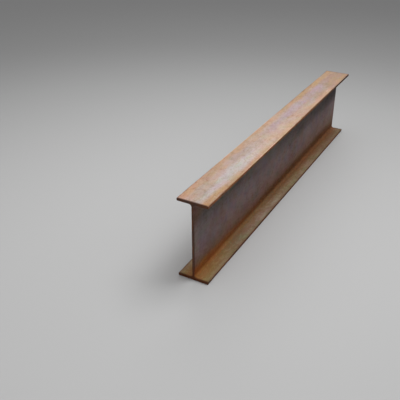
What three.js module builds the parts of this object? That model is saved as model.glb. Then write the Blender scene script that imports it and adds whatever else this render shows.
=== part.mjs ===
// Hot-rolled steel H-beam: two parallel flanges joined by one web, rolled from
// a single billet and sawn square to length.
//
// Frame: the origin is at the middle of the underside of the lower flange.
// +X runs across the flanges, +Y along the beam and +Z up the web.
// Units are millimetres.

import * as THREE from "three";

// ---- Driving dimensions (section H 400 x 150 x 8 x 13) ---------------------

const BEAM_LENGTH = 1900;
const SECTION_DEPTH = 400;
const FLANGE_WIDTH = 150;
const WEB_THICKNESS = 8;
const FLANGE_THICKNESS = 13;
const ROOT_RADIUS = 13; // rolled fillet between web and flange
const TOE_RADIUS = 2; // rolled rounding on the long edges of each flange

const STEPS_PER_HALF_ARC = 4; // an arc is drawn with twice as many straight steps

// ---- Colour and finish -----------------------------------------------------

const RUSTED_STEEL = { color: 0x7a5340, roughness: 0.55, metalness: 0.6 };

// ---- Section ---------------------------------------------------------------

const RIGHT = 0;
const UP = Math.PI / 2;
const LEFT = Math.PI;
const DOWN = -Math.PI / 2;

// The closed outline of the section, in its own plane: x across, y up, with
// y = 0 on the underside. It is drawn anticlockwise, starting on the underside.
function sectionOutline() {
  const tip = FLANGE_WIDTH / 2;
  const webFace = WEB_THICKNESS / 2;
  const lowerInside = FLANGE_THICKNESS;
  const upperInside = SECTION_DEPTH - FLANGE_THICKNESS;
  const toe = Math.min(TOE_RADIUS, FLANGE_THICKNESS / 2);
  const clearOfToe = tip - toe - webFace;
  const halfWeb = (upperInside - lowerInside) / 2;
  const root = Math.min(ROOT_RADIUS, clearOfToe, halfWeb);

  const outline = new THREE.Shape();
  const convex = (x, y, from, to) => outline.absarc(x, y, toe, from, to, false);
  const hollow = (x, y, from, to) => outline.absarc(x, y, root, from, to, true);

  outline.moveTo(-tip + toe, 0);
  // Lower flange, right half
  convex(tip - toe, toe, DOWN, RIGHT);
  convex(tip - toe, lowerInside - toe, RIGHT, UP);
  hollow(webFace + root, lowerInside + root, DOWN, LEFT);
  // Upper flange, right half, then left half
  hollow(webFace + root, upperInside - root, LEFT, UP);
  convex(tip - toe, upperInside + toe, DOWN, RIGHT);
  convex(tip - toe, SECTION_DEPTH - toe, RIGHT, UP);
  convex(-tip + toe, SECTION_DEPTH - toe, UP, LEFT);
  convex(-tip + toe, upperInside + toe, LEFT, 3 * UP);
  hollow(-webFace - root, upperInside - root, UP, RIGHT);
  // Lower flange, left half
  hollow(-webFace - root, lowerInside + root, RIGHT, DOWN);
  convex(-tip + toe, lowerInside - toe, UP, LEFT);
  convex(-tip + toe, toe, LEFT, 3 * UP);
  return outline;
}

// ---- Beam ------------------------------------------------------------------

// The outline is swept along its own plane's normal, then turned so that the
// outline stands upright and the sweep lies along Y, half of it on each side.
function rolledBeam() {
  const geometry = new THREE.ExtrudeGeometry(sectionOutline(), {
    depth: BEAM_LENGTH,
    steps: 1,
    curveSegments: STEPS_PER_HALF_ARC,
    bevelEnabled: false,
  });
  const beam = new THREE.Mesh(
    geometry,
    new THREE.MeshStandardMaterial(RUSTED_STEEL),
  );
  beam.name = "h_beam";
  beam.rotation.x = Math.PI / 2;
  beam.position.y = BEAM_LENGTH / 2;
  return beam;
}

const part = new THREE.Group();
part.add(rolledBeam());

export default part;
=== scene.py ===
"""Looks of the hot-rolled steel H-beam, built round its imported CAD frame.

The CAD node gives the beam's box. The piece made here has the same section and length,
with what a mill and a yard leave on such a beam: toes that wander a little, dents and
nicks along the flange edges, a shallow wave in the web and a burr round each sawn end.
Everything is in metres: +X across the flanges, +Y along the beam, +Z up the web.
"""

import math
from types import SimpleNamespace

import bpy
import numpy as np
from mathutils import Matrix, Vector


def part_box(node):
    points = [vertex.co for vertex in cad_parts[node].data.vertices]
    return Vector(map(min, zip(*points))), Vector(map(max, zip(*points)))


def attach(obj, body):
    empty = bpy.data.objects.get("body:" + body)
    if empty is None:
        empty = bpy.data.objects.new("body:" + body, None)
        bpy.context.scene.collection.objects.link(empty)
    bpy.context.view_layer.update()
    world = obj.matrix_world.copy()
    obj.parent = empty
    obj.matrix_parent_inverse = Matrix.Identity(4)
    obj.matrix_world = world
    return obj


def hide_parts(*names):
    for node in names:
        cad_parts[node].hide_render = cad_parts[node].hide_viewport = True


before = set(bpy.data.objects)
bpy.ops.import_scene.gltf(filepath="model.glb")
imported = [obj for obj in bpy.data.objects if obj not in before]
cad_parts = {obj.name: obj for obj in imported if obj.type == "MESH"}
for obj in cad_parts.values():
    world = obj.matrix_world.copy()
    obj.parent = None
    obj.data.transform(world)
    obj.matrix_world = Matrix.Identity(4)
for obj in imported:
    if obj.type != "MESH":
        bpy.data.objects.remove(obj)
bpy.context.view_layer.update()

# ---- The beam: its box from the CAD frame, and the rest of its section -----

LOW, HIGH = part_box("h_beam")
HALF_LENGTH = (HIGH.y - LOW.y) / 2
NEAR_END = -HALF_LENGTH
FAR_END = HALF_LENGTH
DEPTH = HIGH.z - LOW.z
HALF_WIDTH = (HIGH.x - LOW.x) / 2
HALF_WEB = 0.004
FLANGE = 0.013
ROOT_RADIUS = 0.013
TOE_RADIUS = 0.002

# ---- Mesh density ----------------------------------------------------------

FLAT_SPACING = 0.0062  # between points along the straight stretches of the section
STATION_SPACING = 0.006  # between sections along the beam
TOE_STEPS = 4
ROOT_STEPS = 7
HOLD = 0.0007  # the first point of a straight stretch lies this near its arc
BESIDE_CUT = np.array([0.0009, 0.0024])  # two more sections this near each sawn end

# ---- Relief: heights, and grains as sizes across and along the beam --------

SEED = 7
NOISE_ROWS = 64  # random values across and along before a smooth noise repeats
NOISE_COLUMNS = 512
WEB_WAVE = 0.0005
WEB_WAVE_GRAIN = (0.19, 0.31)
WEB_EASE = 3 * ROOT_RADIUS  # the wave grows to its full height this far from a flange
TOE_WANDER = 0.0005
TOE_WANDER_GRAIN = (0.4, 0.17)
TOE_START = 0.8 * HALF_WIDTH  # the wander grows from here to the edge of the flange
CHATTER = 0.00006  # a fine ripple from the rolls
CHATTER_GRAIN = (0.03, 0.012)
PIT_DEPTH = 0.00022
PIT_GRAIN = (0.011, 0.013)
PIT_LEVEL = 0.55  # pits lie where their noise, -1 to 1, is above this
NICKS_PER_EDGE = 16
NICK_LENGTH = (0.005, 0.016)
NICK_DEPTH = (0.0002, 0.0011)
NICK_FORCE = (0.3, 1)  # each nick keeps a share of its depth between these
NICK_WIDTH = 0.005  # how far from its edge a nick is felt
BURR = 0.0009
BURR_GRAIN = 0.004
BURR_COLUMN = 3  # of the noise: this one for the far end, and minus it for the near end
BURR_HEIGHT = 0.05  # above the floor, where the saw leaves the steel
BURR_LEAST = 0.15  # its share higher up
ARRIS = 0.0004  # how far the sawn edges are broken
CREST_INSET = 0.5 * ARRIS  # from the skin in to the crest of the burr
FACE_INSET = 2 * ARRIS  # and to the rim of the flat sawn face

# ---- Camera ----------------------------------------------------------------

FOCAL_PIXELS = 570.9  # focal length in pixels of the 400-pixel frame
FRAME_PIXELS = 400
SENSOR_MM = 36
CAMERA_PLACE = Vector((1.0154, -2.6687, 1.5889))
CAMERA_PITCH = math.radians(30.57)  # looking down
CAMERA_YAW = math.radians(29.65)  # turned left of +Y
CAMERA_ROLL = math.radians(-0.38)


# ---- Section outline -------------------------------------------------------


def straight(start, end, normal):
    """Points from start to end, held close to both, as rows of x, z, normal x, normal z."""
    start = np.array(start)
    run = np.array(end) - start
    length = np.linalg.norm(run)
    steps = max(2, round(length / FLAT_SPACING))
    share = np.linspace(0, 1, steps + 1)[1:-1]
    share = np.concatenate([[HOLD / length], share, [1 - HOLD / length]])
    points = start + share[:, None] * run
    return np.hstack([points, np.tile(normal, (len(points), 1))])


def arc(centre, radius, first, last, steps):
    """Points round an arc, from the first to the last angle in degrees, facing out of it."""
    angle = np.radians(np.linspace(first, last, steps + 1))
    outward = np.stack([np.cos(angle), np.sin(angle)], 1)
    points = np.array(centre) + radius * outward
    return np.hstack([points, outward])


def toe_arc(z, first, last):
    """The rounded edge of a flange, about a centre at height z."""
    return arc((HALF_WIDTH - TOE_RADIUS, z), TOE_RADIUS, first, last, TOE_STEPS)


def root_arc(z, first, last):
    """The fillet between web and flange, about a centre at height z; it faces its centre."""
    fillet = arc((HALF_WEB + ROOT_RADIUS, z), ROOT_RADIUS, first, last, ROOT_STEPS)
    return fillet * [1, 1, -1, -1]


def half_outline():
    """The right half of the section, from the middle of the underside to the top."""
    toe_x = HALF_WIDTH - TOE_RADIUS
    root_x = HALF_WEB + ROOT_RADIUS
    inner_top = DEPTH - FLANGE
    root_low = FLANGE + ROOT_RADIUS
    root_high = inner_top - ROOT_RADIUS
    return np.vstack([
        [[0, 0, 0, -1]],
        straight((0, 0), (toe_x, 0), (0, -1)),
        toe_arc(TOE_RADIUS, -90, 0),
        straight((HALF_WIDTH, TOE_RADIUS), (HALF_WIDTH, FLANGE - TOE_RADIUS), (1, 0)),
        toe_arc(FLANGE - TOE_RADIUS, 0, 90),
        straight((toe_x, FLANGE), (root_x, FLANGE), (0, 1)),
        root_arc(root_low, 270, 180),
        straight((HALF_WEB, root_low), (HALF_WEB, root_high), (1, 0)),
        root_arc(root_high, 180, 90),
        straight((root_x, inner_top), (toe_x, inner_top), (0, -1)),
        toe_arc(inner_top + TOE_RADIUS, -90, 0),
        straight((HALF_WIDTH, inner_top + TOE_RADIUS), (HALF_WIDTH, DEPTH - TOE_RADIUS), (1, 0)),
        toe_arc(DEPTH - TOE_RADIUS, 0, 90),
        straight((toe_x, DEPTH), (0, DEPTH), (0, 1)),
        [[0, DEPTH, 0, 1]],
    ])


def outline():
    """The whole section as a ring, anticlockwise from the middle of the underside."""
    right = half_outline()
    left = right[-2:0:-1] * [-1, 1, -1, 1]
    return np.vstack([right, left])


# ---- Relief of the rolled surface ------------------------------------------


def smooth_noise(u, v, seed):
    """A smooth field from -1 to 1 with one random value on each whole number of u and v."""
    table = np.random.default_rng(seed).uniform(-1, 1, (NOISE_ROWS, NOISE_COLUMNS))
    row, column = np.floor(u).astype(int), np.floor(v).astype(int)
    down, along = u - row, v - column
    down = down * down * (3 - 2 * down)
    along = along * along * (3 - 2 * along)
    row, next_row = row % NOISE_ROWS, (row + 1) % NOISE_ROWS
    column, next_column = column % NOISE_COLUMNS, (column + 1) % NOISE_COLUMNS
    here = table[row, column] * (1 - along) + table[row, next_column] * along
    below = table[next_row, column] * (1 - along) + table[next_row, next_column] * along
    return here * (1 - down) + below * down


def grained(across, along, grain, seed):
    """A smooth noise whose grains are this long across and along the beam, in metres."""
    return smooth_noise(across / grain[0], along / grain[1], seed)


def nicks(x, y, z):
    """How far the flange edges are knocked in, by the handling that such a beam gets."""
    rng = np.random.default_rng(SEED)
    depth = np.zeros_like(y)
    for side in (-1, 1):
        for edge_z in (0, FLANGE, DEPTH - FLANGE, DEPTH):
            for _ in range(NICKS_PER_EDGE):
                centre = rng.uniform(-HALF_LENGTH, HALF_LENGTH)
                reach = rng.uniform(*NICK_LENGTH)
                knock = rng.uniform(*NICK_DEPTH) * rng.uniform(*NICK_FORCE)
                along = (y - centre) / reach
                from_edge = np.hypot(x - side * HALF_WIDTH, z - edge_z) / NICK_WIDTH
                depth += knock * np.exp(-along**2 - from_edge**2)
    return depth


def relief(x, y, z, round_section):
    """How far each point stands out from the true section, along its normal."""
    from_flange = np.minimum(z - FLANGE, DEPTH - FLANGE - z)
    on_web = np.clip(from_flange / WEB_EASE, 0, 1)
    on_toe = np.clip((np.abs(x) - TOE_START) / (HALF_WIDTH - TOE_START), 0, 1)
    height = WEB_WAVE * on_web * np.sign(x) * grained(z, y, WEB_WAVE_GRAIN, SEED + 1)
    height += TOE_WANDER * on_toe * grained(round_section, y, TOE_WANDER_GRAIN, SEED + 2)
    height += CHATTER * grained(round_section, y, CHATTER_GRAIN, SEED + 3)
    pits = grained(round_section, y, PIT_GRAIN, SEED + 4)
    height -= PIT_DEPTH * np.clip(pits - PIT_LEVEL, 0, 1) / (1 - PIT_LEVEL)
    height -= nicks(x, y, z)
    return height


# ---- Beam ------------------------------------------------------------------

WHOLE_RING = 2  # the first ring that isn't part of the near sawn end
LEAST_MAP_STEP = 0.002  # metres of map that even the closest two rings keep between them
MAP_MARGIN = 0.004
MAP_SKIN_WIDTH = 0.86  # the skin's share of the map's width, and of its height
MAP_SKIN_HEIGHT = 0.992
MAP_FACE_MIDDLE = 0.934  # where the sawn faces lie on the map, one above the other
MAP_FACE_LOW = 0.03
MAP_FACE_STEP = 0.5
MAP_FACE_WIDTH = 0.11
MAP_FACE_HEIGHT = 0.44


def stations():
    """Places of the sections along the beam, closer together beside the sawn ends."""
    inside = HALF_LENGTH - ARRIS
    steps = round(2 * inside / STATION_SPACING)
    places = np.linspace(-inside, inside, steps + 1)
    return np.sort(np.concatenate([places, -inside + BESIDE_CUT, inside - BESIDE_CUT]))


def burr_height(round_section, z, end):
    """How far the saw has pushed a feather of steel past each point of a sawn end."""
    ragged = smooth_noise(round_section / BURR_GRAIN, np.full_like(z, BURR_COLUMN * end), SEED + 5)
    where_saw_leaves = np.clip(1 - z / BURR_HEIGHT, 0, 1)
    share = BURR_LEAST + (1 - BURR_LEAST) * where_saw_leaves
    return BURR * share * np.clip(ragged, 0, 1)


def beam_rings(section):
    """All rings of the skin: from the near end's inner ring to the far end's."""
    x, z, normal_x, normal_z = section.T
    step = np.hypot(np.diff(x, append=x[0]), np.diff(z, append=z[0]))
    round_section = np.concatenate([[0], np.cumsum(step)[:-1]])
    outward = np.stack([normal_x, np.zeros_like(x), normal_z], 1)
    rings = []
    for place in stations():
        y = np.full_like(x, place)
        height = relief(x, y, z, round_section)
        # The underside only goes in, so that the beam stands level on the floor.
        height = np.where(z < FLANGE / 2, np.minimum(height, 0), height)
        rings.append(np.stack([x, y, z], 1) + height[:, None] * outward)
    for end in (-1, 1):
        edge = rings[0 if end < 0 else -1]
        crest = edge - CREST_INSET * outward
        crest[:, 1] = end * (HALF_LENGTH + burr_height(round_section, z, end))
        face = edge - FACE_INSET * outward
        face[:, 1] = end * HALF_LENGTH
        rings = [face, crest] + rings if end < 0 else rings + [crest, face]
    return np.array(rings), round_section


def bake_layout(rings, round_section):
    """Where each skin vertex lies on the bake's map: round the section by along the beam."""
    whole = rings[WHOLE_RING]
    perimeter = round_section[-1] + np.linalg.norm(whole[-1] - whole[0])
    u = np.append(round_section, perimeter) / perimeter
    apart = np.linalg.norm(np.diff(rings[:, 0], axis=0), axis=1)
    v = np.append(0, np.cumsum(np.maximum(apart, LEAST_MAP_STEP)))
    return MAP_MARGIN + MAP_SKIN_WIDTH * u, MAP_MARGIN + MAP_SKIN_HEIGHT * v / v[-1]


def beam_mesh():
    """The beam's skin and its two sawn faces as one closed mesh."""
    section = outline()
    rings, round_section = beam_rings(section)
    rows, columns = rings.shape[:2]
    index = np.arange(rows * columns).reshape(rows, columns)
    after = np.roll(index, -1, axis=1)
    skin = np.stack([index[:-1], after[:-1], after[1:], index[1:]], -1).reshape(-1, 4)
    faces = [tuple(face) for face in skin.tolist()]
    faces.append(tuple(index[0].tolist()))
    faces.append(tuple(index[-1][::-1].tolist()))
    mesh = bpy.data.meshes.new("rolled_beam")
    mesh.from_pydata(rings.reshape(-1, 3).tolist(), [], faces)
    mesh.polygons.foreach_set("use_smooth", np.arange(len(faces)) < len(skin))
    mark_sawn_faces(mesh, columns, rows)
    map_for_bake(mesh, rings, round_section)
    mesh.update()
    return mesh


def mark_sawn_faces(mesh, columns, rows):
    """The sawn ends wear the second material, and their rims are sharp edges.

    A sawn end is its flat face, and the strip that joins the face to the crest of the burr.
    """
    ring_of = np.arange(rows * columns) // columns
    material = np.zeros(len(mesh.polygons), np.int32)
    material[-2:] = 1
    material[:columns] = 1
    material[(rows - 2) * columns : (rows - 1) * columns] = 1
    mesh.polygons.foreach_set("material_index", material)
    ends = np.empty(2 * len(mesh.edges), np.int32)
    mesh.edges.foreach_get("vertices", ends)
    first, last = ring_of[ends.reshape(-1, 2)].T
    rim = (first == last) & np.isin(first, [0, 1, rows - 2, rows - 1])
    mesh.edges.foreach_set("use_edge_sharp", rim)


def map_for_bake(mesh, rings, round_section):
    """A flat map of the whole skin, with the two sawn faces beside it."""
    rows, columns = rings.shape[:2]
    u, v = bake_layout(rings, round_section)
    layer = mesh.uv_layers.new(name="OFBake")
    places = np.empty((len(mesh.loops), 2), np.float32)
    across = np.stack([u[:-1], u[1:], u[1:], u[:-1]], 1)
    for row in range(rows - 1):
        loops = slice(4 * row * columns, 4 * (row + 1) * columns)
        places[loops, 0] = across.ravel()
        places[loops, 1] = np.tile([v[row], v[row], v[row + 1], v[row + 1]], columns)
    for end, row in enumerate((0, -1)):
        face = rings[row] if row == 0 else rings[row][::-1]
        start = 4 * (rows - 1) * columns + end * columns
        loops = slice(start, start + columns)
        aside = face[:, 0] / (2 * HALF_WIDTH)
        up = face[:, 2] / DEPTH
        places[loops, 0] = MAP_FACE_MIDDLE + MAP_FACE_WIDTH * aside
        places[loops, 1] = MAP_FACE_LOW + MAP_FACE_STEP * end + MAP_FACE_HEIGHT * up
    layer.uv.foreach_set("vector", places.ravel())


# ---- Shader helpers --------------------------------------------------------

OXIDE_SPECULAR = 0.25  # dull oxide takes only half of a plain surface's shine
MIX_UNDER, MIX_OVER, MIX_RESULT = 6, 7, 2  # the colour sockets of a Mix node


def linear(level):
    """One sRGB level, 0 to 255, as a linear share."""
    share = level / 255
    return ((share + 0.055) / 1.055) ** 2.4 if share > 0.04 else share / 12.92


def colour(red, green, blue):
    """An sRGB colour, written 0 to 255, as Blender's linear RGBA."""
    return linear(red), linear(green), linear(blue), 1.0


class Paint:
    """Short calls that add shader nodes to one node tree and link them."""

    def __init__(self, tree, coordinates="Object"):
        self.tree = tree
        tree.nodes.clear()
        self.place = self.node("ShaderNodeTexCoord").outputs[coordinates]
        parts = self.node("ShaderNodeSeparateXYZ", {"Vector": self.place})
        self.x, self.y, self.z = parts.outputs

    def node(self, kind, inputs=(), **settings):
        """A new node with these settings, its inputs linked to sockets or set to values."""
        made = self.tree.nodes.new(kind)
        for key, value in settings.items():
            setattr(made, key, value)
        for socket, value in dict(inputs).items():
            self.feed(made.inputs[socket], value)
        return made

    def feed(self, socket, value):
        """Links a socket to an input, or sets the input to a plain value."""
        if isinstance(value, bpy.types.NodeSocket):
            self.tree.links.new(value, socket)
        else:
            socket.default_value = value

    def math(self, operation, *values):
        """What one Math node makes of the values."""
        made = self.node("ShaderNodeMath", operation=operation)
        for socket, value in zip(made.inputs, values):
            self.feed(socket, value)
        return made.outputs[0]

    def times(self, *values):
        """The product of the values."""
        product = values[0]
        for value in values[1:]:
            product = self.math("MULTIPLY", product, value)
        return product

    def sum(self, *terms):
        """The sum of shares of values, given as pairs: a plain number is a share of 1.0."""
        total = 0.0
        for share, value in terms:
            total = self.math("MULTIPLY_ADD", value, share, total)
        return total

    def fade(self, value, start, end, low=0.0, high=1.0):
        """From low, where value is start, smoothly to high, where it is end."""
        inputs = {"Value": value, "From Min": start, "From Max": end, "To Min": low, "To Max": high}
        made = self.node("ShaderNodeMapRange", inputs, interpolation_type="SMOOTHSTEP")
        return made.outputs["Result"]

    def noise(self, grain, detail=3.0, roughness=0.5, offset=0.0, place=None):
        """Noise round 0.5, with grains of these x, y and z sizes in metres.

        The offset is where in the noise it starts, so that no two fields are alike.
        """
        scale = [1 / size for size in grain]
        inputs = {0: place or self.place, 1: scale, 2: (offset, offset, offset)}
        scaled = self.node("ShaderNodeVectorMath", inputs, operation="MULTIPLY_ADD").outputs[0]
        inputs = {"Vector": scaled, "Scale": 1.0, "Detail": detail, "Roughness": roughness}
        return self.node("ShaderNodeTexNoise", inputs).outputs[0]

    def blend(self, share, under, over, kind="MIX"):
        """One colour laid over another by a share, or multiplied into it."""
        made = self.node("ShaderNodeMix", data_type="RGBA", blend_type=kind)
        self.feed(made.inputs[0], share)
        self.feed(made.inputs[MIX_UNDER], under)
        self.feed(made.inputs[MIX_OVER], over)
        return made.outputs[MIX_RESULT]

    def surface(self, base, rough, metal, height, bump_distance):
        """Ends the tree in the shader of an oxide skin; the bump's distance is in metres."""
        inputs = {"Strength": 1.0, "Distance": bump_distance, "Height": height}
        bump = self.node("ShaderNodeBump", inputs).outputs[0]
        inputs = {"Base Color": base, "Roughness": rough, "Metallic": metal, "Normal": bump}
        inputs["Specular IOR Level"] = OXIDE_SPECULAR
        shader = self.node("ShaderNodeBsdfPrincipled", inputs).outputs[0]
        self.node("ShaderNodeOutputMaterial", {"Surface": shader})


def hypotenuse(paint, a, b):
    """The distance whose two right-angled parts these are."""
    squares = paint.sum((1.0, paint.times(a, a)), (1.0, paint.times(b, b)))
    return paint.math("SQRT", squares)


def new_material(name):
    """An empty node material, and the paint that fills it."""
    material = bpy.data.materials.new(name)
    material.use_nodes = True
    return material, Paint(material.node_tree)


# ---- Rolled steel ----------------------------------------------------------

SCALE_MAUVE = colour(131, 110, 109)
SCALE_GREY = colour(118, 104, 103)
SCALE_GREEN = colour(95, 92, 83)
SCALE_BLUE = colour(127, 114, 118)
SCALE_LIP = colour(146, 127, 120)
SCALE_COOL = colour(115, 105, 112)
SCALE_WARM = colour(130, 100, 88)
# painted shade: the charcoal laid under the top flange, deeper towards the far end
PAINTED_SHADE_CHARCOAL = colour(58, 46, 48)
FILM_WARM = colour(128, 98, 85)
END_BROWN = colour(114, 82, 68)
ROOT_ORANGE = colour(164, 95, 10)
ROOT_BROWN = colour(96, 64, 34)
SHELF_OLIVE = colour(155, 138, 111)
SHELF_OCHRE = colour(132, 123, 90)
SHELF_PALE = colour(170, 156, 139)
SHELF_GREEN = colour(138, 136, 109)
SHELF_BROWN = colour(112, 84, 58)
SHELF_ORANGE = colour(170, 136, 88)
# The crown's colours are painted paler than the web's: partly a pale oxide bloom, partly painted
# sheen.
CROWN_ROSE = colour(172, 153, 141)
CROWN_PALE_SHEEN = colour(178, 171, 170)
CROWN_LAVENDER = colour(160, 137, 144)
CROWN_PEACH = colour(179, 143, 114)
CROWN_OCHRE = colour(166, 131, 88)
CROWN_GOLD = colour(185, 147, 100)
CROWN_ASH = colour(170, 159, 163)
# darker and browner far off, partly a painted falloff of the sheen
CROWN_FAR = colour(147, 111, 76)
# painted sheen, where the top face is painted bright
CROWN_PAINTED_SHEEN = colour(192, 163, 140)
CROWN_AMBER = colour(196, 157, 130)
# the lower toes, painted darker than the upper ones as painted shade
LOW_TOE_SHADED_BROWN = colour(112, 66, 38)
LOW_TOE_SHADED_GREY = colour(100, 76, 58)
HIGH_TOE_BROWN = colour(160, 100, 56)
HIGH_TOE_GREY = colour(146, 106, 74)
# painted shade on the upper toes towards the far end
FAR_TOE_SHADED_BROWN = colour(74, 42, 22)
TOE_CRUST = colour(74, 46, 32)
TOE_PALE = colour(172, 124, 86)
ARRIS_OCHRE = colour(148, 114, 88)
# a painted highlight along the crown's rubbed edges
ARRIS_PEACH_HIGHLIGHT = colour(214, 182, 156)
ARRIS_BROWN = colour(126, 94, 70)
ARRIS_DARK = colour(90, 68, 44)
BARE_STEEL = colour(178, 170, 164)
SOFFIT_BROWN = colour(104, 78, 64)
PIT_BROWN = colour(52, 34, 26)
SPECK_ORANGE = colour(160, 96, 48)
RUST_TINT = colour(214, 186, 168)  # what a flaked patch does to the colour under it
DRIFT_TINT = colour(226, 220, 216)  # what a dull streak does to it
MOTTLE_TINT = colour(226, 218, 212)  # and a dull patch
SHADE_TINT = colour(222, 216, 214)  # and a broad one
FRECKLE_TINT = colour(226, 218, 212)  # and a fine grain of darker freckles
ROSY_TINT = colour(255, 243, 252)  # the two ways that the oxide's hue wanders
GREEN_TINT = colour(244, 255, 242)
CUT_RIM = colour(80, 47, 27)  # the flanges' flat faces in the last millimetres by the saw cut
RIM_TINT = colour(178, 161, 148)  # what rust does to the web's last few millimetres
LEFT_SHIFT = 5.3  # metres along the beam between the noises of its two sides
TOE_FACE = 0.0005  # a toe's own outer face lies within this of the beam's width
ROLLED_BUMP = 0.00011

# Where one face's colour gives way to the next: from the first place to the second.

UNDERSIDE_EDGE = 0.0004  # the underside's colour is whole up to this height
UNDERSIDE_TOP = 0.0016  # and gone at this one
SHELF_FADE = (0.034, 0.015)  # heights by a lower fillet, from the web to the shelf
SOFFIT_FADE = (DEPTH - 0.034, DEPTH - 0.015)  # and by an upper one
SOFFIT_START = (HALF_WEB + 0.002, HALF_WEB + ROOT_RADIUS)  # distances from the web's middle
CROWN_FADE = (DEPTH - 0.0014, DEPTH - 0.0004)
TOE_FADE = (HALF_WIDTH - 0.0023, HALF_WIDTH - 0.001)

# Heights between which a colour comes in, on the web and from the lower toes to the upper.

MAUVE_TO_GREY = (0.19, 0.26)
GREY_TO_GREEN = (0.245, 0.32)
# the painted shade under the top flange comes in between these heights
PAINTED_SHADE_UP = (0.19, 0.268)
FILM_DOWN = (0.16, 0.075)
ROOT_DOWN = (0.088, 0.034)
WASH_DOWN = (0.34, 0.24)
LIP_DOWN = (0.32, 0.28)
RIM_DOWN = (0.31, 0.27)
GUSSET_UP = (0.25, 0.305)
# the lower toes' painted shade gives way to the upper toes' colour between these heights
LOW_TOE_SHADE_UP = (0.1, 0.3)

# Places along the beam, as y, between which one does.

ROOT_BROWN_ALONG = (-0.9, -0.1)
# the painted shade on the upper web deepens towards the far end between these places
PAINTED_SHADE_ALONG = (-0.3, FAR_END)
WASH_ALONG = (NEAR_END + 0.36, NEAR_END + 0.01)
LIP_ALONG = (NEAR_END + 0.065, NEAR_END + 0.012)
FILLET_BROWN_ALONG = (-0.6, 0.4)
SHELF_BROWN_ALONG = (0.1, FAR_END)
SHELF_RIM_ALONG = (0.6, -0.3)
SHELF_ORANGE_ALONG = (-0.5, -0.92)
CORNER_ALONG = (-0.3, -0.8)
# where the painted shade on the upper toes comes in
FAR_TOE_SHADE_ALONG = (0.2, 0.75)
CROWN_FAR_ALONG = (0.4, 1.3)  # of y plus a ragged noise, which is 0.4 on average
# the painted highlight on the crown's edges comes in between these places
ARRIS_HIGHLIGHT_ALONG = (-0.75, -0.5)
ARRIS_BROWN_ALONG = (-0.15, 0.3)
ARRIS_DARK_ALONG = (0.55, FAR_END)

# Distances from the middle of the flanges, and at last from the sawn ends and the roots.

CROWN_OUT = (0.02, 0.062)
FILLET_IN = (0.045, 0.014)
SHELF_RIM_OUT = (0.062, 0.073)
SHELF_ORANGE_IN = (0.09, 0.03)
CORNER_IN = (0.021, 0.009)
ARRIS_OUT = (HALF_WIDTH - 0.0048, HALF_WIDTH - 0.0028)
FLAKY_EDGE = (HALF_WIDTH - 0.012, HALF_WIDTH - 0.001)
FLAKY_END = (0.02, 0)
END_RUST_REACH = (0.14, 0.06)
WEB_RIM_REACH = (0.012, 0.006)
CUT_RIM_REACH = (0.0068, 0.0042)
ROOT_REACH = (0.06, -0.015)  # streaks take the distance below zero

# Soft patches on the flanges: colour, share, and then centre and reach as x and y.

SHELF_PATCHES = (
    (SHELF_PALE, 0.75, (0.046, -0.33), (0.036, 0.25)),
    (SHELF_GREEN, 0.8, (0.027, -0.68), (0.042, 0.23)),
)
# On the crown, the bright patch is painted sheen and the pale one partly painted sheen.
CROWN_PATCHES = (
    (CROWN_PALE_SHEEN, 0.84, (0.027, -0.6), (0.037, 0.38)),
    (CROWN_PAINTED_SHEEN, 0.5, (0.036, -0.1), (0.055, 0.42)),
    (CROWN_AMBER, 0.6, (0.062, 0.51), (0.021, 0.2)),
)

# Blooms on the crown that a noise breaks up or that run together: centre and reach.

LAVENDER_BLOOM = ((-0.014, 0.34), (0.042, 0.62))
OCHRE_BLOOM = ((-0.062, 0.62), (0.03, 0.5))
NEAR_OCHRE_BLOOM = ((0.075, -0.92), (0.035, 0.4))


def rolled_steel():
    """Mill scale flaking to rust: orange in the lower roots, pale bloom and painted sheen on the
    crown.
    """
    material, paint = new_material("rolled_steel")
    paint.place = sides_apart(paint)
    wear = wear_fields(paint)
    zone = zones(paint, wear)

    base = web_colour(paint, wear)
    base = paint.blend(zone.shelf, base, shelf_colour(paint, wear))
    base = paint.blend(zone.soffit, base, SOFFIT_BROWN)
    base = paint.blend(zone.toe, base, toe_colour(paint))
    base = paint.blend(zone.crown, base, crown_colour(paint, wear))
    base = weathered(paint, base, wear, zone)

    flaked = flaked_patches(paint, wear, zone)
    shown = paint.sum((0.34, 1.0), (-0.12, zone.crown), (0.3, zone.root))
    base = paint.blend(paint.times(flaked, shown), base, RUST_TINT, "MULTIPLY")
    speck = rust_specks(paint, wear, zone)
    base = paint.blend(paint.times(speck, 0.5), base, SPECK_ORANGE)
    pit = rust_pits(paint)
    base = paint.blend(paint.times(pit, 0.55), base, PIT_BROWN)
    scratch = scratches(paint)
    base = paint.blend(paint.times(scratch, 0.5), base, BARE_STEEL)

    rusted = paint.math("MAXIMUM", flaked, speck)
    rough = paint.sum((0.2, rusted), (0.14, wear.grain), (-0.19, zone.crown), (0.52, 1.0))
    metal = paint.sum((-0.2, rusted), (0.25, zone.crown), (0.3, 1.0))
    height = paint.sum((-0.9, flaked), (0.5, speck), (0.45, wear.grain), (0.5, wear.line))
    height = paint.sum((1.0, height), (-1.6, pit), (-1.0, scratch))
    paint.surface(base, rough, metal, height, ROLLED_BUMP)
    return material


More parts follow.
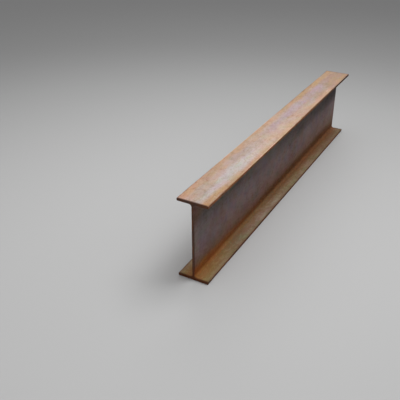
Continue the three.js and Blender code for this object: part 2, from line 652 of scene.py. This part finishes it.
def weathered(paint, base, wear, zone):
    """The colours darkened by streaks, patches and freckles, and tinged rosy or greenish."""
    dull = paint.sum((0.4, 1.0), (0.05, zone.crown), (-0.15, zone.shelf))
    mottled = paint.sum((0.2, 1.0), (-0.1, zone.crown), (0.12, zone.shelf))
    shaded = paint.sum((0.5, 1.0), (-0.3, zone.crown), (-0.3, zone.shelf))
    freckled = paint.sum((0.34, 1.0), (0.26, zone.crown), (0.12, zone.shelf))
    tinged = paint.sum((1.0, 1.0), (-0.3, zone.crown))
    for field, share, tint in (
        (wear.dull, dull, DRIFT_TINT),
        (paint.fade(wear.mottle, 0.5, 0.66), mottled, MOTTLE_TINT),
        (paint.fade(wear.shade, 0.42, 0.62), shaded, SHADE_TINT),
        (paint.fade(wear.freckle, 0.47, 0.62), freckled, FRECKLE_TINT),
        (paint.fade(wear.tinge, 0.5, 0.62), tinged, ROSY_TINT),
        (paint.fade(wear.tinge, 0.5, 0.38), tinged, GREEN_TINT),
    ):
        base = paint.blend(paint.times(field, share), base, tint, "MULTIPLY")
    return base


def sides_apart(paint):
    """The place that noises are read at: the left of the web has weathered in its own way."""
    within = paint.times(
        paint.math("LESS_THAN", paint.x, 0.0),
        paint.math("GREATER_THAN", paint.x, TOE_FACE - HALF_WIDTH),
        paint.math("GREATER_THAN", paint.z, FLANGE / 2),
        paint.math("LESS_THAN", paint.z, DEPTH - FLANGE / 2),
    )
    shift = paint.node("ShaderNodeCombineXYZ", {"Y": paint.times(within, LEFT_SHIFT)}).outputs[0]
    return paint.node("ShaderNodeVectorMath", {0: paint.place, 1: shift}).outputs[0]


def wear_fields(paint):
    """The drifts and grains that the rolled surface's colours are worked out from."""
    streak = paint.noise((0.02, 0.5, 0.02), detail=4, roughness=0.55)
    line = paint.noise((0.0026, 0.8, 0.0026), detail=2, roughness=0.5, offset=61.0)
    cloud = paint.noise((0.14, 0.45, 0.14), detail=3, roughness=0.55, offset=3.1)
    mottle = paint.noise((0.03, 0.06, 0.04), detail=5, roughness=0.6, offset=15.0)
    runs = paint.noise((0.1, 0.026, 0.24), detail=4, roughness=0.55, offset=81.0)
    drift = paint.sum((0.2, streak), (0.25, runs), (0.3, mottle), (0.25, cloud))
    return SimpleNamespace(
        across=paint.math("ABSOLUTE", paint.x),
        cloud=cloud,
        mottle=mottle,
        shade=paint.noise((0.07, 0.13, 0.13), detail=4, roughness=0.55, offset=23.0),
        freckle=paint.noise((0.0043, 0.0088, 0.0043), detail=3, roughness=0.6, offset=71.0),
        streak=streak,
        line=line,
        tinge=paint.noise((0.04, 0.09, 0.05), detail=4, roughness=0.6, offset=47.0),
        patch=paint.noise((0.011, 0.03, 0.011), detail=9, roughness=0.74, offset=7.7),
        speckle=paint.noise((0.0034, 0.0058, 0.0034), detail=4, roughness=0.62, offset=1.3),
        grain=paint.noise((0.0012, 0.0022, 0.0012), detail=2, roughness=0.6, offset=5.9),
        dull=paint.fade(drift, 0.46, 0.62),
    )


def zones(paint, wear):
    """Shares, 0 to 1, of the faces of the section: they meet in its fillets and toes."""
    underside = paint.fade(paint.z, UNDERSIDE_TOP, UNDERSIDE_EDGE)
    above_underside = paint.fade(paint.z, UNDERSIDE_EDGE, UNDERSIDE_TOP)
    return SimpleNamespace(
        shelf=paint.times(paint.fade(paint.z, *SHELF_FADE), above_underside),
        soffit=paint.math("MAXIMUM", under_top_flange(paint, wear), underside),
        toe=paint.fade(wear.across, *TOE_FADE),
        crown=paint.fade(paint.z, *CROWN_FADE),
        root=root_nearness(paint, wear),
    )


def under_top_flange(paint, wear):
    """1 on the underside of the top flange, fading in the fillet."""
    return paint.times(paint.fade(wear.across, *SOFFIT_START), paint.fade(paint.z, *SOFFIT_FADE))


def root_nearness(paint, wear):
    """1 in a lower root fillet, fading up the web and out along the flange."""
    out = paint.math("SUBTRACT", wear.across, HALF_WEB)
    up = paint.math("SUBTRACT", paint.z, FLANGE)
    away = paint.sum((1.0, hypotenuse(paint, out, up)), (-0.04, wear.streak))
    return paint.fade(away, *ROOT_REACH)


def web_colour(paint, wear):
    """Up the web: rust out of the root, a warm film, then the scale, with marks by the ends."""
    drift = paint.sum((0.11, wear.cloud), (0.06, wear.streak), (-0.085, 1.0))
    up = paint.math("ADD", paint.z, drift)
    level = paint.sum((1.0, paint.z), (0.4, drift))
    base = scale_colour(paint, level)
    base = paint.blend(end_wash(paint), base, SCALE_BLUE)
    lip = paint.fade(paint.y, *LIP_ALONG, high=0.65)
    base = paint.blend(paint.times(lip, paint.fade(paint.z, *LIP_DOWN)), base, SCALE_LIP)
    base = paint.blend(end_rust(paint), base, END_BROWN)
    base = paint.blend(paint.fade(up, *FILM_DOWN), base, FILM_WARM)
    root = paint.blend(paint.fade(paint.y, *ROOT_BROWN_ALONG), ROOT_ORANGE, ROOT_BROWN)
    base = paint.blend(paint.fade(up, *ROOT_DOWN), base, root)
    return paint.blend(end_rim(paint), base, RIM_TINT, "MULTIPLY")


def scale_colour(paint, level):
    """Web scale: mauve, grey, green-grey, filmed; painted shade under the top flange, deeper far off.
    """
    base = paint.blend(paint.fade(level, *MAUVE_TO_GREY), SCALE_MAUVE, SCALE_GREY)
    film = paint.noise((0.05, 0.06, 0.08), detail=4, roughness=0.55, offset=91.0)
    base = paint.blend(paint.fade(film, 0.5, 0.37, high=0.7), base, SCALE_COOL)
    base = paint.blend(paint.fade(film, 0.51, 0.64, high=0.55), base, SCALE_WARM)
    # The green-grey up toward the top flange is darker, partly as painted shade under it.
    base = paint.blend(paint.fade(level, *GREY_TO_GREEN), base, SCALE_GREEN)
    # Charcoal painted shade under the top flange, broken by a noise and deeper towards the far end.
    shade_variation = paint.noise((0.06, 0.2, 0.06), detail=3, roughness=0.55, offset=11.0)
    far = paint.fade(paint.y, *PAINTED_SHADE_ALONG, high=0.75)
    painted_shade = paint.sum((0.27, paint.fade(shade_variation, 0.45, 0.68)), (0.11, 1.0), (1.0, far))
    return paint.blend(paint.times(painted_shade, paint.fade(level, *PAINTED_SHADE_UP)), base, PAINTED_SHADE_CHARCOAL)


def end_wash(paint):
    """Pale runs down the web beside the near sawn end, where rain has washed it."""
    runs = paint.noise((0.2, 0.011, 0.4), detail=4, roughness=0.6, offset=27.0)
    runs = paint.fade(runs, 0.38, 0.62, low=0.25)
    near = paint.fade(paint.y, *WASH_ALONG)
    return paint.times(runs, near, paint.fade(paint.z, *WASH_DOWN, high=0.85))


def end_rust(paint):
    """A ragged gusset of brown rust at the top of the web, beside the near sawn end."""
    ragged = paint.noise((0.03, 0.03, 0.03), detail=4, roughness=0.6, offset=52.0)
    from_end = paint.sum((1.0, paint.y), (0.05, ragged), (-0.025 - NEAR_END, 1.0))
    gusset = paint.sum((1.0, paint.z), (-0.45, from_end))
    return paint.times(paint.fade(from_end, *END_RUST_REACH), paint.fade(gusset, *GUSSET_UP))


def end_rim(paint):
    """The web's last few millimetres before each sawn end, below the end rust."""
    near_cut = paint.fade(distance_from_end(paint), *WEB_RIM_REACH)
    return paint.times(near_cut, paint.fade(paint.z, *RIM_DOWN))


def distance_from_end(paint):
    """Metres along the beam from the nearer sawn end."""
    return paint.math("SUBTRACT", HALF_LENGTH, paint.math("ABSOLUTE", paint.y))


def shelf_colour(paint, wear):
    """The upward face of the lower flange: olive to the toe, ochre or brown by the fillet.

    Patches lie on it, and it is orange by the near end and brown towards the far one.
    """
    olive = paint.blend(paint.fade(wear.mottle, 0.42, 0.62, high=0.4), SHELF_OLIVE, SHELF_OCHRE)
    fillet = paint.blend(paint.fade(paint.y, *FILLET_BROWN_ALONG), SHELF_OCHRE, SHELF_BROWN)
    base = paint.blend(paint.fade(wear.across, *FILLET_IN), olive, fillet)
    base = patched(paint, base, wear.mottle, SHELF_PATCHES)
    near = paint.fade(paint.y, *SHELF_RIM_ALONG, high=0.4)
    rim = paint.times(paint.fade(wear.across, *SHELF_RIM_OUT), near)
    base = paint.blend(rim, base, SHELF_BROWN)
    base = paint.blend(paint.fade(paint.y, *SHELF_BROWN_ALONG, high=0.85), base, SHELF_BROWN)
    near = paint.fade(paint.y, *SHELF_ORANGE_ALONG)
    orange = paint.times(near, paint.fade(wear.across, *SHELF_ORANGE_IN))
    base = paint.blend(orange, base, SHELF_ORANGE)
    near = paint.fade(paint.y, *CORNER_ALONG, high=0.5)
    corner = paint.times(paint.fade(wear.across, *CORNER_IN), near)
    base = paint.blend(corner, base, ROOT_ORANGE)
    return paint.blend(cut_rim(paint), base, CUT_RIM)


def cut_rim(paint):
    """A thin dark line of rust on a flange's flat face, along each saw cut."""
    return paint.fade(distance_from_end(paint), *CUT_RIM_REACH, high=0.85)


def toe_colour(paint):
    """The edges of the flanges: brown rust with grey scale.

    The upper flange's is paler; the lower's darker colour and the upper's dark far end are painted
    shade.
    """
    scale = paint.noise((0.02, 0.07, 0.02), detail=4, roughness=0.6, offset=9.0)
    scale = paint.fade(scale, 0.5, 0.6)
    # The lower toes are painted darker than the upper, as painted shade.
    low = paint.blend(scale, LOW_TOE_SHADED_BROWN, LOW_TOE_SHADED_GREY)
    high = paint.blend(scale, HIGH_TOE_BROWN, HIGH_TOE_GREY)
    # Painted shade towards the far end of the upper toes.
    high = paint.blend(paint.fade(paint.y, *FAR_TOE_SHADE_ALONG), high, FAR_TOE_SHADED_BROWN)
    base = paint.blend(paint.fade(paint.z, *LOW_TOE_SHADE_UP), low, high)
    crust = paint.noise((0.011, 0.024, 0.006), detail=5, roughness=0.68, offset=12.0)
    base = paint.blend(paint.fade(crust, 0.5, 0.6, high=0.55), base, TOE_CRUST)
    return paint.blend(paint.fade(crust, 0.46, 0.36, high=0.4), base, TOE_PALE)


def patched(paint, base, ragged, patches):
    """The colour with soft patches laid over it in turn."""
    for tint, share, centre, reach in patches:
        patch = bloom(paint, ragged, centre, reach)
        base = paint.blend(paint.times(patch, share), base, tint)
    return base


def bloom(paint, ragged, centre, reach):
    """A soft spot on a flange, its centre and reach given as x and y, its edge by a noise."""
    x = paint.math("DIVIDE", paint.math("SUBTRACT", paint.x, centre[0]), reach[0])
    y = paint.math("DIVIDE", paint.math("SUBTRACT", paint.y, centre[1]), reach[1])
    away = paint.sum((1.0, hypotenuse(paint, x, y)), (1.6, ragged), (-0.8, 1.0))
    return paint.fade(away, 1.15, 0.35)


def crown_colour(paint, wear):
    """Pale bloom and painted sheen on the top flange: rosy middle, peach edges, browner far off.

    Patches lie on it, then gold and ash mottling; its edges are rubbed and carry a painted highlight.
    """
    ragged = paint.noise((0.03, 0.16, 0.03), detail=4, roughness=0.6, offset=21.0)
    drift = paint.sum((0.07, ragged), (-0.035, 1.0))
    aside = paint.math("ABSOLUTE", paint.math("ADD", paint.x, drift))
    base = paint.blend(paint.fade(aside, *CROWN_OUT), CROWN_ROSE, CROWN_PEACH)
    # Darker and browner far off, partly a painted falloff of the sheen.
    far = paint.fade(paint.sum((1.0, paint.y), (0.8, ragged)), *CROWN_FAR_ALONG)
    base = paint.blend(paint.times(far, 0.85), base, CROWN_FAR)
    # The bright and pale patches are painted sheen, the pale one partly.
    base = patched(paint, base, ragged, CROWN_PATCHES)
    lavender = bloom(paint, ragged, *LAVENDER_BLOOM)
    lavender = paint.times(lavender, paint.fade(wear.shade, 0.6, 0.42, low=0.3))
    base = paint.blend(paint.times(lavender, 0.95), base, CROWN_LAVENDER)
    ochre = bloom(paint, ragged, *OCHRE_BLOOM)
    near_ochre = bloom(paint, ragged, *NEAR_OCHRE_BLOOM)
    ochre = paint.math("MAXIMUM", ochre, paint.times(near_ochre, 0.95))
    base = paint.blend(ochre, base, CROWN_OCHRE)
    hue = paint.noise((0.03, 0.11, 0.03), detail=4, roughness=0.55, offset=33.0)
    hue = paint.sum((0.55, hue), (0.45, wear.freckle))
    base = paint.blend(paint.fade(hue, 0.5, 0.62, high=0.46), base, CROWN_GOLD)
    base = paint.blend(paint.fade(hue, 0.48, 0.37, high=0.43), base, CROWN_ASH)
    base = paint.blend(cut_rim(paint), base, CUT_RIM)
    return paint.blend(paint.fade(wear.across, *ARRIS_OUT, high=0.8), base, arris_colour(paint))


def arris_colour(paint):
    """The crown's rubbed edges: ochre, then a peach painted highlight, then brown and dark at the far
    end.
    """
    edge = paint.blend(paint.fade(paint.y, *ARRIS_HIGHLIGHT_ALONG), ARRIS_OCHRE, ARRIS_PEACH_HIGHLIGHT)
    edge = paint.blend(paint.fade(paint.y, *ARRIS_BROWN_ALONG), edge, ARRIS_BROWN)
    return paint.blend(paint.fade(paint.y, *ARRIS_DARK_ALONG), edge, ARRIS_DARK)


def flaked_patches(paint, wear, zone):
    """Crisp patches where scale has come off: more in the roots, at the toes and the ends."""
    edge = paint.fade(wear.across, *FLAKY_EDGE)
    edge = paint.math("MAXIMUM", edge, paint.fade(distance_from_end(paint), *FLAKY_END))
    edge = paint.times(edge, paint.sum((0.08, 1.0), (-0.06, zone.crown)))
    amount = paint.sum((1.0, edge), (0.13, zone.root), (0.2, wear.cloud), (1.0, wear.patch))
    broad = paint.fade(amount, 0.65, 0.68)
    fine = paint.fade(paint.sum((1.0, amount), (0.5, wear.speckle)), 0.87, 0.92)
    return paint.sum((0.5, broad), (0.5, fine))


def rust_specks(paint, wear, zone):
    """Small orange blooms, close together in the roots and sparse elsewhere."""
    amount = paint.sum((1.0, wear.speckle), (0.16, zone.root), (0.2, wear.mottle), (0.03, zone.crown))
    return paint.fade(amount, 0.73, 0.79)


def rust_pits(paint):
    """Small dark pits, sparse all over."""
    pits = paint.noise((0.0042, 0.0068, 0.0042), detail=2, roughness=0.5, offset=17.0)
    return paint.fade(pits, 0.665, 0.70)


def scratches(paint):
    """Thin bright lines, nearly along the beam, from the rollers and the forks of a truck."""
    line = paint.noise((0.0012, 0.2, 0.0012), detail=1, roughness=0.5, offset=40.0)
    where = paint.noise((0.06, 0.3, 0.06), detail=2, roughness=0.5, offset=44.0)
    return paint.times(paint.fade(line, 0.73, 0.76), paint.fade(where, 0.52, 0.6))


# ---- Sawn ends -------------------------------------------------------------

SAWN_BROWN = colour(80, 54, 44)
SAWN_RUST = colour(106, 64, 40)
SAWN_BRIGHT = colour(124, 98, 84)
SAWN_LOW = colour(98, 50, 13)
SAWN_LOW_FADE = (0.09, 0.015)  # heights between which the rust there takes over
BLADE_CENTRE_X = -0.52  # the saw's arcs run round this point, beside the beam
BLADE_CENTRE_Z = 0.1
ARC_SPACING = 0.0014
SAWN_METAL = 0.4
SAWN_BUMP = 0.00016


def sawn_steel():
    """The sawn ends: arcs from the blade, browned by the same rust, most near the floor."""
    material, paint = new_material("sawn_steel")
    cloud = paint.noise((0.03, 0.03, 0.03), detail=4, roughness=0.6)
    grain = paint.noise((0.0016, 0.0016, 0.0016), detail=3, roughness=0.6, offset=5.0)
    out = paint.math("SUBTRACT", paint.x, BLADE_CENTRE_X)
    up = paint.math("SUBTRACT", paint.z, BLADE_CENTRE_Z)
    radius = hypotenuse(paint, out, up)
    ring = paint.node("ShaderNodeCombineXYZ", {"X": radius}).outputs[0]
    arcs = paint.noise((ARC_SPACING, 1.0, 1.0), detail=3, roughness=0.6, offset=2.0, place=ring)
    base = paint.blend(paint.fade(cloud, 0.38, 0.6), SAWN_BROWN, SAWN_RUST)
    worn = paint.times(paint.fade(arcs, 0.52, 0.6), paint.fade(cloud, 0.55, 0.42, high=0.6))
    base = paint.blend(worn, base, SAWN_BRIGHT)
    base = paint.blend(paint.fade(paint.z, *SAWN_LOW_FADE, high=0.88), base, SAWN_LOW)
    base = paint.blend(paint.fade(grain, 0.55, 0.68, high=0.6), base, PIT_BROWN)
    height = paint.sum((1.2, arcs), (0.7, grain))
    rough = paint.sum((0.25, grain), (0.38, 1.0))
    paint.surface(base, rough, SAWN_METAL, height, SAWN_BUMP)
    return material


# ---- Studio ----------------------------------------------------------------

FLOOR_SIZE = 80.0
FLOOR_DROP = 0.0003  # the floor lies this far under the beam's true underside
FLOOR_ROUGHNESS = 0.9
# The floor's painted pool of light: pale near the beam, darker far off.
FLOOR_PALE = colour(192, 192, 192)
FLOOR_FAR = colour(141, 141, 141)
FLOOR_POOL_CENTRE = Vector((-0.2, -1.2, 0.0))  # of the painted pool of light, at its palest
FLOOR_POOL_FALLOFF = (0.4, 4.3)  # distances from that centre over which the painted light falls off
FLOOR_MEETS_SKY = (2.6, 7.0)
SKY_HORIZON = colour(117, 117, 117)
SKY_ZENITH = colour(208, 208, 208)
ZENITH_RISE = 0.9  # the sine of the elevation above which the sky has its zenith's colour
WINDOW_AZIMUTH = math.radians(24)  # of a bright patch of the sky, left of +Y
WINDOW_RISE = math.radians(25)  # and above the horizon
WINDOW_GAIN = 4.0
WINDOW_CORE = math.cos(math.radians(7))  # full brightness within 7 degrees of its middle
WINDOW_RIM = math.cos(math.radians(25))  # and none beyond 25
KEY_PLACE = Vector((1.2, 1.3, 5.0))
KEY_TARGET = Vector((0, 0, 0.2))
KEY_SIZE = 3.0
KEY_WATTS = 156


def floor_material():
    """Pale paper, painted as a pool of light that darkens away from the beam and at last turns into
    the sky.
    """
    material, paint = new_material("studio_floor")
    inputs = {0: paint.place, 1: FLOOR_POOL_CENTRE}
    away = paint.node("ShaderNodeVectorMath", inputs, operation="DISTANCE").outputs["Value"]
    # The painted pool of light: pale round the beam, darker away from it.
    base = paint.blend(paint.fade(away, *FLOOR_POOL_FALLOFF), FLOOR_PALE, FLOOR_FAR)
    inputs = {"Base Color": base, "Roughness": FLOOR_ROUGHNESS}
    paper = paint.node("ShaderNodeBsdfPrincipled", inputs).outputs[0]
    glow = paint.node("ShaderNodeEmission", {"Color": SKY_HORIZON, "Strength": 1.0}).outputs[0]
    inputs = {0: paint.fade(away, *FLOOR_MEETS_SKY), 1: paper, 2: glow}
    mixed = paint.node("ShaderNodeMixShader", inputs).outputs[0]
    paint.node("ShaderNodeOutputMaterial", {"Surface": mixed})
    return material


def floor():
    """A wide level floor just under the beam."""
    half = FLOOR_SIZE / 2
    corners = [(x * half, y * half, -FLOOR_DROP) for x, y in ((-1, -1), (1, -1), (1, 1), (-1, 1))]
    mesh = bpy.data.meshes.new("studio_floor")
    mesh.from_pydata(corners, [], [(0, 1, 2, 3)])
    mesh.materials.append(floor_material())
    made = bpy.data.objects.new("studio_floor", mesh)
    bpy.context.scene.collection.objects.link(made)


def sky():
    """Soft light from all round and, for sheen, a window that the camera doesn't see."""
    world = bpy.data.worlds.new("studio")
    world.use_nodes = True
    paint = Paint(world.node_tree, "Generated")
    tint = paint.blend(paint.fade(paint.z, 0, ZENITH_RISE), SKY_HORIZON, SKY_ZENITH)
    window = Vector((
        -math.sin(WINDOW_AZIMUTH) * math.cos(WINDOW_RISE),
        math.cos(WINDOW_AZIMUTH) * math.cos(WINDOW_RISE),
        math.sin(WINDOW_RISE),
    ))
    inputs = {0: paint.place, 1: window}
    facing = paint.node("ShaderNodeVectorMath", inputs, operation="DOT_PRODUCT").outputs["Value"]
    glow = paint.fade(facing, WINDOW_RIM, WINDOW_CORE, high=WINDOW_GAIN)
    seen = paint.node("ShaderNodeLightPath").outputs["Is Camera Ray"]
    glow = paint.times(glow, paint.sum((1.0, 1.0), (-1.0, seen)))
    strength = paint.math("ADD", glow, 1.0)
    background = paint.node("ShaderNodeBackground", {"Color": tint, "Strength": strength})
    paint.node("ShaderNodeOutputWorld", {"Surface": background.outputs[0]})
    bpy.context.scene.world = world


def softbox():
    """The one lamp: a square softbox high over the beam."""
    lamp = bpy.data.lights.new("key", "AREA")
    lamp.shape = "SQUARE"
    lamp.size = KEY_SIZE
    lamp.energy = KEY_WATTS
    made = bpy.data.objects.new("key", lamp)
    made.location = KEY_PLACE
    made.rotation_euler = (KEY_TARGET - KEY_PLACE).to_track_quat("-Z", "Y").to_euler()
    bpy.context.scene.collection.objects.link(made)


def camera():
    """The photograph's own viewpoint, with the beam where its like stands in the photo."""
    lens = bpy.data.cameras.new("camera")
    lens.sensor_width = SENSOR_MM
    lens.lens = FOCAL_PIXELS / FRAME_PIXELS * SENSOR_MM
    made = bpy.data.objects.new("camera", lens)
    forward = Vector((
        -math.sin(CAMERA_YAW) * math.cos(CAMERA_PITCH),
        math.cos(CAMERA_YAW) * math.cos(CAMERA_PITCH),
        -math.sin(CAMERA_PITCH),
    ))
    level_right = Vector((math.cos(CAMERA_YAW), math.sin(CAMERA_YAW), 0))
    level_up = level_right.cross(forward)
    right = math.cos(CAMERA_ROLL) * level_right + math.sin(CAMERA_ROLL) * level_up
    up = right.cross(forward)
    turned = Matrix((right, up, -forward)).transposed().to_4x4()
    made.matrix_world = Matrix.Translation(CAMERA_PLACE) @ turned
    bpy.context.scene.collection.objects.link(made)
    bpy.context.scene.camera = made


# ---- Scene -----------------------------------------------------------------

camera()
beam = bpy.data.objects.new("rolled_beam", beam_mesh())
bpy.context.scene.collection.objects.link(beam)
beam.data.materials.append(rolled_steel())
beam.data.materials.append(sawn_steel())
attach(beam, "root")
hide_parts("h_beam")

floor()
sky()
softbox()
bpy.context.scene.view_settings.view_transform = "Standard"
